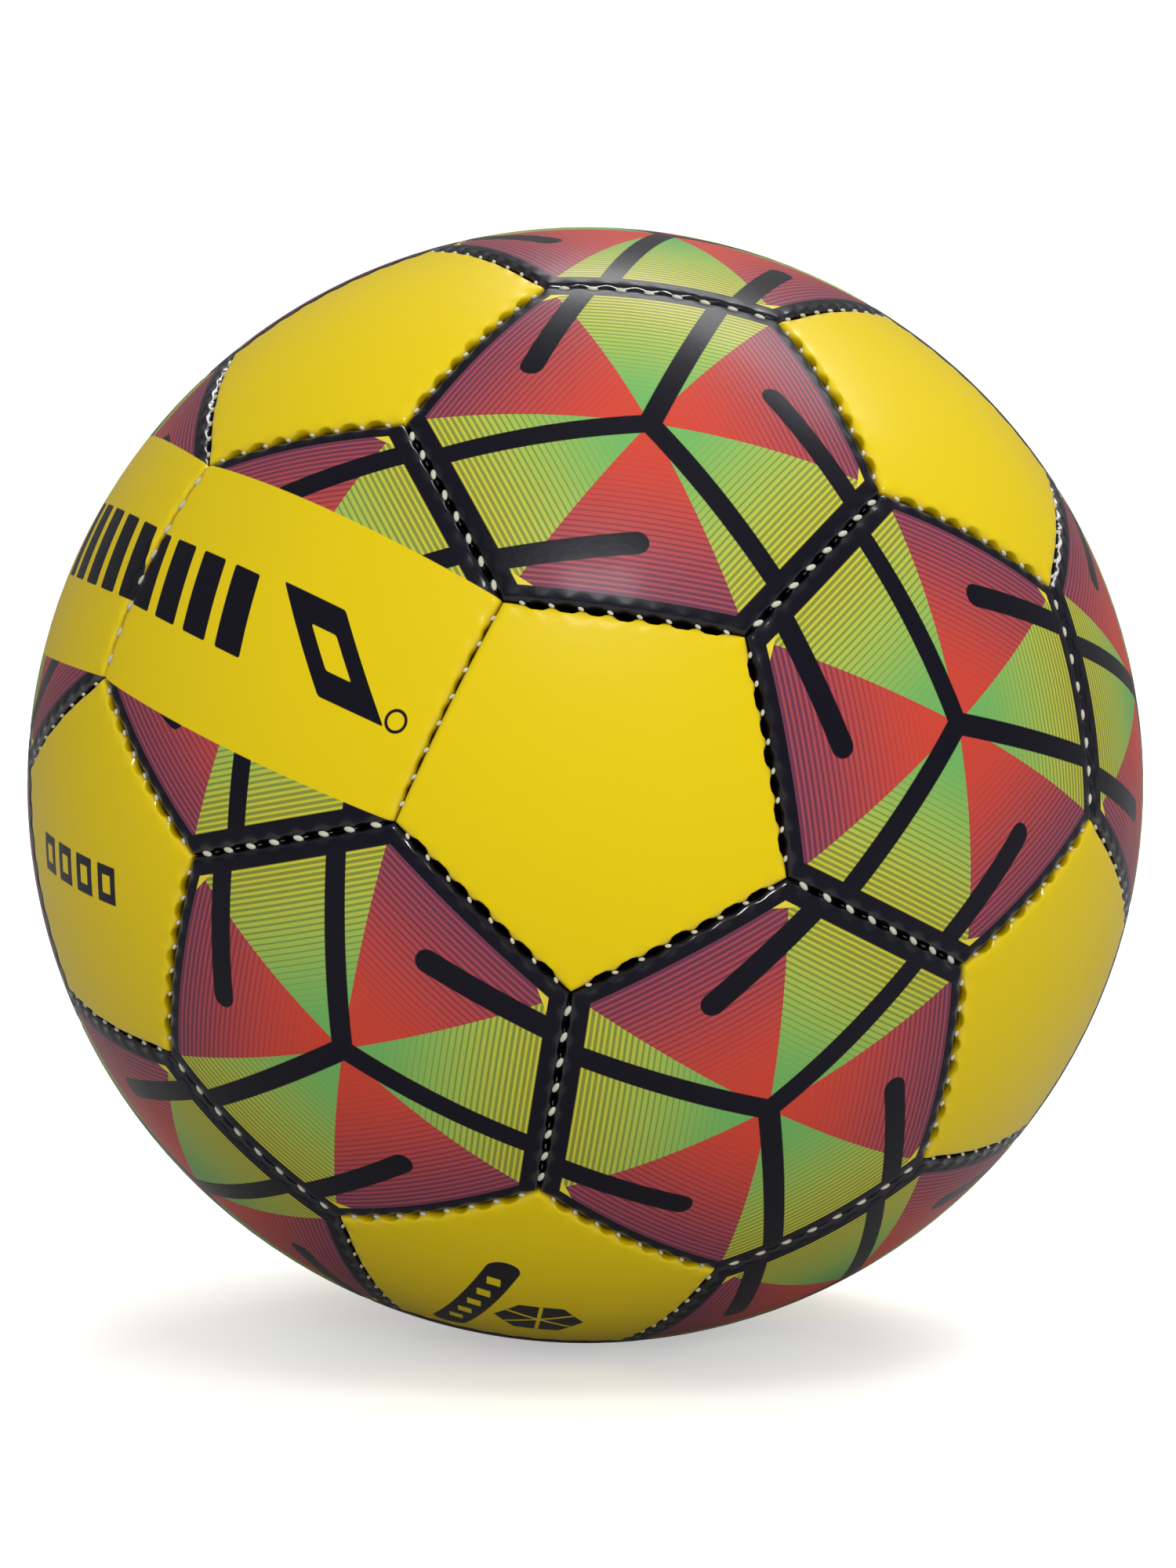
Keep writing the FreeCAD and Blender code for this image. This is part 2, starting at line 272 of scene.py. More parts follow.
def group(name, inputs, outputs):
    """A new node group, its net, its inputs' sockets and the node that takes its outputs."""
    tree = bpy.data.node_groups.new(name, "ShaderNodeTree")
    for label, kind, value in inputs:
        socket = tree.interface.new_socket(label, in_out="INPUT", socket_type=kind)
        if value is not None:
            socket.default_value = value
    for label, kind in outputs:
        tree.interface.new_socket(label, in_out="OUTPUT", socket_type=kind)
    net = Net(tree)
    return tree, net, net.node("NodeGroupInput").outputs, net.node("NodeGroupOutput").inputs


VECTOR, FLOAT, COLOR = "NodeSocketVector", "NodeSocketFloat", "NodeSocketColor"

# %% [markdown]
# The sheet's grain is a soft pebble, with a slower waviness from the cloth behind it.
# The seam's shade darkens and dulls the rim as it goes down between two covers, where light and
# polish don't reach, and it is the same for every cover, because it only asks how deep a point lies.
# It also gives a mask of the rolled edge, which is rubbed smooth and shines more.

# %% Grain and seam shade
GRAIN, net, take, give = group(
    "cover_grain", [("Place", VECTOR, None)], [("Height", FLOAT), ("Wear", FLOAT)]
)
pebble = net.node("ShaderNodeTexVoronoi", feature="SMOOTH_F1")
net.join(take["Place"], pebble.inputs["Vector"])
net.join(1100.0, pebble.inputs["Scale"])
fine = net.math("MULTIPLY", pebble.outputs["Distance"], 0.35)
cloth_wave = net.math("MULTIPLY", net.noise(take["Place"], 260.0, 3.0), 0.5)
slow = net.math("MULTIPLY", net.noise(take["Place"], 45.0), 0.9)
net.join(net.math("ADD", net.math("ADD", fine, cloth_wave), slow), give["Height"])
net.join(net.ramp(net.noise(take["Place"], 24.0, 6.0, 0.65), 0.42, 0.72), give["Wear"])

SEAM_SHADE, net, take, give = group(
    "seam_shade",
    [("Place", VECTOR, None), ("Color", COLOR, None)],
    [("Color", COLOR), ("Depth", FLOAT), ("Rolled", FLOAT)],
)
depth = net.math("SUBTRACT", BALL, net.vector("LENGTH", take["Place"]))
soft_depth = net.math("ADD", depth, net.math("MULTIPLY", net.noise(take["Place"], 700.0), 0.2 * MM))
WARM_SHADE, DEEP_SHADE = (0.34, 0.22, 0.1, 1), (0.12, 0.08, 0.06, 1)  # what is left of the colour
warmth = net.ramp(soft_depth, 0.3 * MM, 1.3 * MM, 0.0, 0.55)
warm = net.mix(warmth, take["Color"], WARM_SHADE, "MULTIPLY")
sunk = net.mix(1.0, take["Color"], DEEP_SHADE, "MULTIPLY")
net.join(net.mix(net.ramp(soft_depth, 1.1 * MM, 2.4 * MM), warm, sunk), give["Color"])
net.join(net.ramp(depth, 0.6 * MM, 2.0 * MM), give["Depth"])
rolled = net.math("MULTIPLY", net.ramp(depth, 0.04 * MM, 0.25 * MM), net.ramp(depth, 1.2 * MM, 0.8 * MM))
net.join(rolled, give["Rolled"])
print("shared effects:", [tree.name for tree in bpy.data.node_groups])

# %% [markdown]
# ## The hexagons' print
# The print has a third of a turn of symmetry. A point is folded into the first 120 degrees, and its
# distance across to a side follows from its radius and the folded angle.
# Towards a hexagon seam lies a green triangle, and towards a pentagon seam a red one. Fine lines run
# across each triangle and widen towards its side. The black lines lie over both.

# %% Hexagon print
SIDE = HEXAGON.apothem / MM
YELLOW = paint(235, 206, 10)
INK = paint(21, 19, 30)
RAY = math.radians(14)  # from a corner to the next long black line
LINE, BAR = 1.95, 2.2  # half the widths of a long line and of a short bar, in millimetres
BAR_OFFSET, BAR_START = 23.8, 5.6  # a bar's place beside a long line
GREEN_BORDER, RED_BORDER = 4.0, 3.4
CORNER_SPOT = 38.7  # the yellow spot in a corner starts this far from the middle
PITCH = 1.1  # from hatch line to hatch line
THIRD = 2 * math.pi / 3


def print_map(net, where):
    """Flat position on a panel in millimetres, from its print map."""
    return net.vector("MULTIPLY", net.vector("SUBTRACT", where, (0.5, 0.5, 0)), (100, 100, 0))


def edge_mask(net, distance, half_width, blur=0.12):
    """1 where a distance is under half_width, with a printed line's slightly soft edge."""
    return net.ramp(distance, half_width + blur, half_width - blur)


HEX_PRINT, net, take, give = group(
    "hexagon_print", [("Map", VECTOR, None)], [("Color", COLOR), ("Ink", FLOAT)]
)
flat_spot = print_map(net, take["Map"])
split = net.node("ShaderNodeSeparateXYZ")
net.join(flat_spot, split.inputs[0])
radius = net.vector("LENGTH", flat_spot)
folded = net.math("WRAP", net.math("ARCTAN2", split.outputs["Y"], split.outputs["X"]), THIRD, 0.0)


def towards(degrees, part="COSINE"):
    """How far the folded point lies towards an angle, or to the left of it with part SINE."""
    turn = net.math("SUBTRACT", folded, math.radians(degrees))
    return net.math("MULTIPLY", radius, net.math(part, turn))


to_green, to_red = towards(30), towards(90)
across = net.math("MAXIMUM", to_green, to_red)
red_part = net.math("GREATER_THAN", folded, math.pi / 3)
share = net.math("DIVIDE", across, SIDE)
width = net.ramp(share, 0.1, 1.0, 0.02, 0.62)
tooth = net.math("FRACT", net.math("DIVIDE", across, PITCH))
saw = net.math("ABSOLUTE", net.math("SUBTRACT", tooth, 0.5))
hatch = net.ramp(net.math("SUBTRACT", width, net.math("MULTIPLY", saw, 2.0)), -0.12, 0.12)

green = net.mix(net.ramp(share, 0.1, 1.0), paint(116, 182, 98), paint(214, 200, 56))
green = net.mix(hatch, green, net.mix(net.ramp(share, 0.2, 1.0), paint(104, 160, 86), paint(138, 148, 60)))
red = net.mix(net.ramp(share, 0.1, 1.0), paint(212, 72, 54), paint(166, 76, 82))
red = net.mix(hatch, red, net.mix(net.ramp(share, 0.2, 1.0), paint(170, 64, 62), paint(104, 56, 84)))
colour = net.mix(red_part, green, red)
corner_spot = net.math("GREATER_THAN", towards(60), CORNER_SPOT)
colour = net.mix(corner_spot, colour, paint(232, 214, 60))


def long_line(degrees):
    """Distance from the half line that leaves the panel's middle at an angle."""
    behind = net.math("MINIMUM", towards(degrees), 0.0)
    sideways = towards(degrees, "SINE")
    return net.math("SQRT", net.math("ADD", net.math("POWER", behind, 2.0), net.math("POWER", sideways, 2.0)))


ray = math.degrees(RAY)
lines = net.math("MINIMUM", long_line(ray), net.math("MINIMUM", long_line(ray + 120), long_line(ray - 120)))
bar_behind = net.math("MINIMUM", net.math("SUBTRACT", towards(ray), BAR_START), 0.0)
bar_side = net.math("SUBTRACT", towards(ray, "SINE"), BAR_OFFSET)
bar = net.math("SQRT", net.math("ADD", net.math("POWER", bar_behind, 2.0), net.math("POWER", bar_side, 2.0)))
ink = net.math("MAXIMUM", edge_mask(net, lines, LINE), edge_mask(net, bar, BAR))
green_edge = net.math("SUBTRACT", SIDE, net.math("MAXIMUM", to_green, towards(150)))
red_edge = net.math("SUBTRACT", SIDE, net.math("MAXIMUM", to_red, towards(-30)))
borders = net.math("MAXIMUM", edge_mask(net, green_edge, GREEN_BORDER), edge_mask(net, red_edge, RED_BORDER))
ink = net.math("MAXIMUM", ink, borders)
net.join(net.mix(ink, colour, INK), give["Color"])
net.join(ink, give["Ink"])
print("print nodes:", len(HEX_PRINT.nodes))

# %% [markdown]
# ## Marks
# Two hexagons carry a plain yellow band with printed marks, and two pentagons carry small ones.
# The marks are plain shapes: slanted bars, a ring, a cut lozenge, small boxes and a rounded bar.
# A bar is a rectangle that can be turned and slanted. Its mask comes from how far a point lies
# outside it along its length and its width.

# %% Bar mark
BAR_MARK, net, take, give = group(
    "bar_mark",
    [("Spot", VECTOR, None), ("Center", VECTOR, None), ("Turn", FLOAT, 0.0), ("Slant", FLOAT, 0.0),
     ("Length", FLOAT, 1.0), ("Width", FLOAT, 1.0), ("Round", FLOAT, 0.3)],
    [("Mask", FLOAT)],
)
offset = net.vector("SUBTRACT", take["Spot"], take["Center"])
turned_spot = net.node("ShaderNodeVectorRotate", rotation_type="Z_AXIS")
net.join(offset, turned_spot.inputs["Vector"])
net.join(net.math("MULTIPLY", take["Turn"], -1.0), turned_spot.inputs["Angle"])
split = net.node("ShaderNodeSeparateXYZ")
net.join(turned_spot.outputs[0], split.inputs[0])
slid = net.math("SUBTRACT", split.outputs["Y"], net.math("MULTIPLY", split.outputs["X"], take["Slant"]))
over = []
for value, size in ((split.outputs["X"], take["Length"]), (slid, take["Width"])):
    inner = net.math("SUBTRACT", net.math("MULTIPLY", size, 0.5), take["Round"])
    over.append(net.math("MAXIMUM", net.math("SUBTRACT", net.math("ABSOLUTE", value), inner), 0.0))
outside = net.math("SQRT", net.math("ADD", net.math("POWER", over[0], 2.0), net.math("POWER", over[1], 2.0)))
net.join(net.ramp(net.math("SUBTRACT", outside, take["Round"]), 0.12, -0.12), give["Mask"])


def bars(net, spot, *marks):
    """One mask for several bars, each (middle x, middle y, turn, slant, length, width, rounding)."""
    mask = None
    for x, y, turn, slant, length, width, rounding in marks:
        one = net.group(BAR_MARK, Spot=spot, Center=(x, y, 0), Turn=math.radians(turn), Slant=slant,
                        Length=length, Width=width, Round=rounding)["Mask"]
        mask = one if mask is None else net.math("MAXIMUM", mask, one)
    return mask


def ring(net, spot, x, y, radius, half_width):
    away = net.vector("LENGTH", net.vector("SUBTRACT", spot, (x, y, 0)))
    return edge_mask(net, net.math("ABSOLUTE", net.math("SUBTRACT", away, radius)), half_width)


print("bar mark nodes:", len(BAR_MARK.nodes))

# %% [markdown]
# ## Cover finish
# All covers share one finish: grain, gloss, and the seam's shade over whatever colour they are given.
# The finish function is handed a small function that draws that colour.

# %% Cover finish
BUMP_STRENGTH, BUMP_HEIGHT = 0.32, 0.12 * MM
DULLNESS = 0.36  # roughness of clean leather; wear and depth in a seam add to it, ink takes from it


def cover_material(name, draw):
    """A glossy synthetic leather. draw(net, flat position) gives (colour, ink mask or None)."""
    material = bpy.data.materials.new(name)
    material.use_nodes = True
    net = Net(material.node_tree)
    shader = material.node_tree.nodes["Principled BSDF"]
    place = net.node("ShaderNodeTexCoord").outputs["Object"]
    chart = net.node("ShaderNodeUVMap", uv_map="print").outputs["UV"]
    colour, ink = draw(net, chart)
    grain = net.group(GRAIN, Place=place)
    tint = net.mix(net.noise(place, 9.0, 3.0), (0.95, 0.95, 0.95, 1), (1.0, 1.0, 1.0, 1))
    tinted = net.mix(1.0, colour, tint, "MULTIPLY")
    shade = net.group(SEAM_SHADE, Place=place, Color=tinted)
    net.join(shade["Color"], shader.inputs["Base Color"])
    gloss = net.math("ADD", DULLNESS, net.math("MULTIPLY", grain["Wear"], 0.08))
    if ink is not None:
        gloss = net.math("SUBTRACT", gloss, net.math("MULTIPLY", ink, 0.05))
    roughness = net.math("ADD", gloss, net.math("MULTIPLY", shade["Depth"], 0.3))
    net.join(roughness, shader.inputs["Roughness"])
    bump = net.node("ShaderNodeBump")
    net.join(BUMP_STRENGTH, bump.inputs["Strength"])
    net.join(BUMP_HEIGHT, bump.inputs["Distance"])
    net.join(grain["Height"], bump.inputs["Height"])
    net.join(bump.outputs[0], shader.inputs["Normal"])
    shader.inputs["Specular IOR Level"].default_value = 0.12
    polish = net.math("ADD", 0.04, net.math("MULTIPLY", shade["Rolled"], 0.9))
    net.join(polish, shader.inputs["Coat Weight"])
    shader.inputs["Coat Roughness"].default_value = 0.13
    return material


def plain(net, chart):
    return YELLOW, None


def printed(net, chart):
    outputs = net.group(HEX_PRINT, Map=chart)
    return outputs["Color"], outputs["Ink"]


BAND = 22.2  # half the band's width


def banner(*marks, lozenge=None, small_ring=None):
    """Draws the print with a plain band down its middle and black marks on the band."""
    def draw(net, chart):
        colour, ink = printed(net, chart)
        spot = print_map(net, chart)
        split = net.node("ShaderNodeSeparateXYZ")
        net.join(spot, split.inputs[0])
        band = edge_mask(net, net.math("ABSOLUTE", split.outputs["X"]), BAND)
        mask = bars(net, spot, *marks)
        if lozenge:
            hole = bars(net, spot, *lozenge[1:])
            cut = net.math("SUBTRACT", bars(net, spot, lozenge[0]), hole, clamp=True)
            mask = net.math("MAXIMUM", mask, cut)
        if small_ring:
            mask = net.math("MAXIMUM", mask, ring(net, spot, *small_ring))
        colour = net.mix(band, colour, net.mix(mask, YELLOW, INK))
        return colour, net.math("MULTIPLY", ink, net.math("SUBTRACT", 1.0, band))
    return draw


def marked(*marks, cut=()):
    """Draws plain yellow with black marks, and with yellow cuts in the marks."""
    def draw(net, chart):
        spot = print_map(net, chart)
        mask = bars(net, spot, *marks)
        if cut:
            mask = net.math("SUBTRACT", mask, bars(net, spot, *cut), clamp=True)
        return net.mix(mask, YELLOW, INK), mask
    return draw


def slanted_bar(y):
    return (0.2, y, 0, 0.28, 14.2, 6.4, 0.5)


def small_box(step, length, width, rounding):
    """One of four boxes in a row on the left pentagon, numbered from the row's middle."""
    return (-1.1 + 2.35 * step, -1.8 + 8.0 * step, 73, 0.0, length, width, rounding)


COVER_PLAIN = cover_material("cover_plain", plain)
COVER_PRINTED = cover_material("cover_printed", printed)
COVER_BANNER = cover_material("cover_banner", banner(
    *[slanted_bar(y) for y in (-35.6, -26.4, -17.2, -8.0)],
    lozenge=((-0.2, 14.0, 0, 1.1, 15.0, 14.0, 0.5), (-0.2, 14.0, 0, 1.1, 6.0, 5.4, 0.4)),
    small_ring=(5.5, 31.0, 1.9, 0.3)))
COVER_BANNER_FAR = cover_material("cover_banner_far", banner(
    *[slanted_bar(y) for y in (-34.4, -25.2, -16.0, -6.8, 2.4)]))
COVER_SMALL_BARS = cover_material("cover_small_bars", marked(
    *[small_box(step, 6.0, 7.0, 0.3) for step in (-1.5, -0.5, 0.5, 1.5)],
    cut=[small_box(step, 2.6, 3.4, 0.2) for step in (-1.5, -0.5, 0.5, 1.5)]))
COVER_PILL = cover_material("cover_pill", marked(
    (-7.75, -4.9, 76.3, 0.0, 39.4, 6.4, 3.1),
    *[(4.3, -9.3, turn, 0.0, 8.2, 14.2, 0.2) for turn in (0, 60, 120)],
    cut=[(-7.75 + 1.38 * step, -4.9 + 5.66 * step, 76.3, 0.3, 2.8, 2.6, 0.2) for step in range(-2, 3)]
    + [(4.3, -9.3, turn, 0.0, 14.0, 0.7, 0.2) for turn in (30, 90, 150)]))
print([material.name for material in bpy.data.materials if material.name.startswith("cover")])

# %% [markdown]
# ## Cloth, thread and rubber
# The covers' undersides, the backings and the patch are woven cloth. The undersides show in the
# seams, and their dark colour is painted shade there. The thread is pale and waxed, with the same
# weave at a finer scale. The bladder, the valve stem and the core are moulded rubber: dull, with a
# bloom of lighter dust.

# %% Cloth, thread and rubber
WEAVE, net, take, give = group(
    "weave", [("Place", VECTOR, None), ("Scale", FLOAT, 900.0)], [("Height", FLOAT)]
)
threads = []
for direction in ("X", "Y", "Z"):
    wave = net.node("ShaderNodeTexWave", wave_type="BANDS", bands_direction=direction)
    net.join(take["Place"], wave.inputs["Vector"])
    net.join(take["Scale"], wave.inputs["Scale"])
    net.join(1.2, wave.inputs["Distortion"])
    threads.append(wave.outputs["Fac"])
net.join(net.math("MAXIMUM", net.math("MULTIPLY", threads[0], threads[1]), threads[2]), give["Height"])


def matt_material(name, dark, light, roughness, weave=None, spots=60.0, bump_height=0.2 * MM):
    """A dull material: woven if weave gives a scale, and cloudy between its two colours."""
    material = bpy.data.materials.new(name)
    material.use_nodes = True
    net = Net(material.node_tree)
    shader = material.node_tree.nodes["Principled BSDF"]
    place = net.node("ShaderNodeTexCoord").outputs["Object"]
    cloud = net.ramp(net.noise(place, spots, 6.0, 0.6), 0.3, 0.75)
    height = net.noise(place, 900.0, 3.0)
    if weave:
        height = net.group(WEAVE, Place=place, Scale=weave)["Height"]
        cloud = net.math("MULTIPLY", net.math("ADD", cloud, height), 0.5)
    net.join(net.mix(cloud, dark, light), shader.inputs["Base Color"])
    net.join(net.math("ADD", roughness, net.math("MULTIPLY", cloud, 0.12)), shader.inputs["Roughness"])
    bump = net.node("ShaderNodeBump")
    net.join(0.5, bump.inputs["Strength"])
    net.join(bump_height, bump.inputs["Distance"])
    net.join(height, bump.inputs["Height"])
    net.join(bump.outputs[0], shader.inputs["Normal"])
    return material


# The undersides' dark colour is painted shade: it stands for the shade deep in the seams.
PAINTED_SHADE_CLOTH = matt_material("underside_cloth_painted_shade", paint(34, 31, 33), paint(70, 66, 62), 0.8, weave=700.0)
BACKING = matt_material("backing_cloth", paint(176, 166, 142), paint(222, 214, 194), 0.8, weave=420.0)
PATCH = matt_material("patch_cloth", paint(150, 146, 136), paint(198, 194, 182), 0.75, weave=520.0)
THREAD = matt_material(
    "waxed_thread", paint(196, 193, 172), paint(226, 223, 204), 0.42, weave=1500.0, bump_height=0.1 * MM
)
BLADDER = matt_material("bladder_rubber", paint(20, 20, 21), paint(44, 43, 42), 0.55)
STEM = matt_material("stem_rubber", paint(18, 18, 19), paint(38, 37, 37), 0.5, spots=120.0)
CORE = matt_material("core_rubber", paint(28, 28, 30), paint(54, 53, 52), 0.45, spots=160.0)

CAD_FINISHES = {
    "pentagon_backings": BACKING,
    "hexagon_backings": BACKING,
    "pentagon_seam_threads": THREAD,
    "hexagon_seam_threads": THREAD,
    "bladder": BLADDER,
    "valve_patch": PATCH,
    "valve_stem": STEM,
    "valve_core": CORE,
}
for name, material in CAD_FINISHES.items():
    for holder in NODES[name].material_slots:
        holder.material = material
print("finishes on", len(CAD_FINISHES), "CAD nodes")

# %% [markdown]
# ## One panel
# A real panel is a flat sheet, cut with straight edges, whose rim is folded in and sewn. It could be
# cut from a sphere, but then its print would have no flat sheet to lie on.
# So it starts flat, as in the factory: an outline with many points, and smaller outlines inside it.
# A Cast modifier blows the sheet out to the ball's radius. The rim is then extruded over and down.

# %% Panel sizes
SEGMENTS = 64  # points along one side
ROLL = 1.5 * MM  # radius of the rolled edge
HALF_GAP = 0.04 * MM
ROLL_STEPS = 6
WALL_DEPTHS = (2.2 * MM, 3.2 * MM, 4.6 * MM)
RINGS = (0.5, 1.2, 2.1, 3.2, 4.6, 6.4, 9.0, 12.5, 16.5, 20.5)  # millimetres in from the outline
RING_STEP = 4.0  # millimetres from ring to ring further in
SHEET = 1.1 * MM
STITCH_PITCH = 5.2 * MM
STITCHES = 8
STITCH_STEP = STITCH_PITCH / (BALL - 3.3 * MM)


def outline(flat):
    """A flat panel's outline, drawn where the rolled edge starts."""
    inset = (ROLL + HALF_GAP) / math.cos(flat.tilt)
    bpy.ops.mesh.primitive_circle_add(
        vertices=flat.sides,
        radius=flat.radius - inset / math.cos(math.pi / flat.sides),
        fill_type="NOTHING",
        location=(0, 0, flat.height),
        rotation=(0, 0, math.pi / 6 if flat.sides == 6 else 0),
    )
    bpy.ops.object.transform_apply(location=True, rotation=True, scale=True)
    piece = named(f"blank_{flat.sides}")
    edit(piece, "EDGE")
    bpy.ops.mesh.select_all(action="SELECT")
    bpy.ops.mesh.subdivide(number_cuts=SEGMENTS - 1)
    return done(piece)


def ring_scales(flat):
    """Sizes of the rings inside a panel's outline, each as a share of the one before."""
    outline_apothem = (flat.apothem - ROLL - HALF_GAP) / MM
    rings = [outline_apothem - ring for ring in RINGS]
    while rings[-1] > RING_STEP + 2:
        rings.append(rings[-1] - RING_STEP)
    rings.append(rings[-1] / 2)
    return [ring / before for ring, before in zip(rings, [outline_apothem] + rings)]


def dome(flat):
    """The outline filled with rings of faces and blown out to the ball's radius."""
    piece = outline(flat)
    edit(piece, "EDGE")
    bpy.ops.mesh.select_all(action="SELECT")
    for scale in ring_scales(flat):
        bpy.ops.mesh.extrude_edges_move()
        bpy.ops.transform.resize(value=(scale, scale, 1), center_override=(0, 0, flat.height))
    bpy.ops.mesh.edge_face_add()
    bpy.ops.mesh.poke()
    done(piece)
    modify(piece, "CAST", cast_type="SPHERE", factor=1, radius=0, size=BALL, use_radius_as_size=False)
    return piece


blank = dome(HEXAGON)
lengths = [v.co.length for v in blank.data.vertices]
print(f"hexagon dome: {len(blank.data.polygons)} faces, radius {min(lengths):.5f} to {max(lengths):.5f}")

# %% [markdown]
# The rim goes over in small steps round a quarter circle and then straight in, towards the bladder.
# Every step extrudes the free edge and scales it about the ball's centre, less in height than in
# width, which is the same as moving it on round the circle.

# %% Rolled rim
def rim_profile(flat):
    """(radius from the ball's centre, polar angle) of the rim at the middle of a side, step by step."""
    profile = []
    for step in range(ROLL_STEPS + 1):
        turn = math.pi / 2 * step / ROLL_STEPS
        depth = ROLL * (1 - math.cos(turn))
        gap = HALF_GAP + ROLL * (1 - math.sin(turn))
        profile.append((BALL - depth, flat.tilt - math.asin(gap / (BALL - depth))))
    for depth in WALL_DEPTHS:
        profile.append((BALL - depth, flat.tilt - math.asin(HALF_GAP / (BALL - depth))))
    return profile


def add_rim(piece, flat):
    edit(piece, "EDGE")
    bpy.ops.mesh.select_all(action="DESELECT")
    bpy.ops.mesh.select_non_manifold()
    profile = rim_profile(flat)
    for (radius, angle), (next_radius, next_angle) in zip(profile, profile[1:]):
        wide = next_radius * math.sin(next_angle) / (radius * math.sin(angle))
        high = next_radius * math.cos(next_angle) / (radius * math.cos(angle))
        bpy.ops.mesh.extrude_edges_move()
        bpy.ops.transform.resize(value=(wide, wide, high), center_override=(0, 0, 0))
    return done(piece)


add_rim(blank, HEXAGON)
print("with its rim:", len(blank.data.polygons), "faces")

# %% [markdown]
# The thread pulls the two rims together at each stitch, and between stitches they gape.
# So the rim is pushed back in the middle of every gap, and the cover sinks a little at every stitch.
# A pentagon's rim goes back further than a hexagon's, which gives its sides their scalloped look.
# With proportional editing, one move does all the gaps at once and fades into the cover.

# %% Gaping between the stitches
GAPES = {5: 0.95 * MM, 6: 0.36 * MM}  # by the panel's number of sides
GAPE_HALF_LENGTHS = {5: 0.95 * MM, 6: 0.55 * MM}
GAPE_REACH = 1.9 * MM
PUCKER = 0.28 * MM
PUCKER_HALF_LENGTH = 0.5 * MM
PUCKER_REACH = 2.6 * MM


def first_side(flat):
    """Angle of side 0: the hexagon's is at +Y, the pentagon's is the first one after its corner there."""
    return math.pi / 2 + (0 if flat.sides == 6 else math.pi / flat.sides)


def side_number(point, flat):
    """Which side a point is nearest to."""
    turn = math.atan2(point.y, point.x) - first_side(flat)
    return round(turn * flat.sides / (2 * math.pi)) % flat.sides


def along_side(point, flat):
    """Angle along the nearest side, from the side's middle, as seen from the ball's centre."""
    nearest = first_side(flat) + side_number(point, flat) * 2 * math.pi / flat.sides
    across = Vector((-math.sin(nearest), math.cos(nearest), 0))
    return math.asin(point.dot(across) / point.length)


def near_stitch(angle, shift):
    """How far an angle along a seam is from the nearest stitch (shift 0.5) or gap (shift 0)."""
    place = angle / STITCH_STEP + shift
    return abs(place - round(place)) * STITCH_STEP * BALL


def gape(piece, flat, closed_side=None):
    """Opens the rim between the stitches and draws it down at them, but not along closed_side."""
    gape_size = GAPES[flat.sides]
    edit(piece)
    count = select_vertices(
        piece,
        lambda v: v.co.length < BALL - 0.5 * ROLL
        and side_number(v.co, flat) != closed_side
        and near_stitch(along_side(v.co, flat), 0) < GAPE_HALF_LENGTHS[flat.sides]
        and abs(along_side(v.co, flat)) < (STITCHES / 2 - 0.5) * STITCH_STEP,
    )
    middle = flat.tilt - ROLL / BALL
    wide = 1 - gape_size * math.cos(flat.tilt) / (BALL * math.sin(middle))
    high = 1 + gape_size * math.sin(flat.tilt) / (BALL * math.cos(middle))
    bpy.ops.transform.resize(
        value=(wide, wide, high),
        center_override=(0, 0, 0),
        use_proportional_edit=True,
        proportional_edit_falloff="SMOOTH",
        proportional_size=GAPE_REACH,
    )
    select_vertices(
        piece,
        lambda v: BALL - 0.6 * ROLL < v.co.length < BALL - 0.2 * ROLL
        and side_number(v.co, flat) != closed_side
        and near_stitch(along_side(v.co, flat), 0.5) < PUCKER_HALF_LENGTH
        and abs(along_side(v.co, flat)) < STITCHES / 2 * STITCH_STEP,
    )
    sink = 1 - PUCKER / BALL
    bpy.ops.transform.resize(
        value=(sink, sink, sink),
        center_override=(0, 0, 0),
        use_proportional_edit=True,
        proportional_edit_falloff="SMOOTH",
        proportional_size=PUCKER_REACH,
    )
    done(piece)
    return count


before = [v.co.copy() for v in blank.data.vertices]
count = gape(blank, HEXAGON)
moved = max((v.co - old).length for v, old in zip(blank.data.vertices, before))
print(count, "rim points between stitches, moved up to", round(moved * 1000, 2), "mm")

# %% [markdown]
# Before the sheet is placed, it gets the coordinates of its print, flat as it was printed:
# one unit of the map is a tenth of a metre, and the panel's middle is at the middle of the map.
# Solidify then gives the sheet its thickness, with the cloth of its inner side as a second material.

# %% Print map and thickness
def map_print(piece, flat):
    mesh = piece.data
    spots = np.empty(len(mesh.vertices) * 3)
    mesh.vertices.foreach_get("co", spots)
    spots = spots.reshape(-1, 3)
    flat_spots = spots[:, :2] * (flat.height / spots[:, 2:3]) * 10 + 0.5
    corners_at = np.empty(len(mesh.loops), dtype=int)
    mesh.loops.foreach_get("vertex_index", corners_at)
    for old in list(mesh.uv_layers):
        mesh.uv_layers.remove(old)
    layer = mesh.uv_layers.new(name="print")
    layer.data.foreach_set("uv", flat_spots[corners_at].ravel())


def thicken(piece):
    piece.data.materials.append(COVER_PLAIN)
    # The inner side and cut edge take the dark underside cloth, whose darkness is painted shade for the
    # seams.
    piece.data.materials.append(PAINTED_SHADE_CLOTH)
    modify(piece, "SOLIDIFY", thickness=SHEET, offset=-1, material_offset=1, material_offset_rim=1)
    only(piece)
    bpy.ops.object.shade_smooth_by_angle(angle=math.radians(40))


def check_outward(piece):
    """Share of the piece's outer faces whose normals point away from the ball's centre."""
    faces = piece.data.polygons
    outer = [f for f in faces if f.center.length > BALL - 0.3 * MM]
    return sum(f.normal.dot(f.center) > 0 for f in outer) / len(outer)


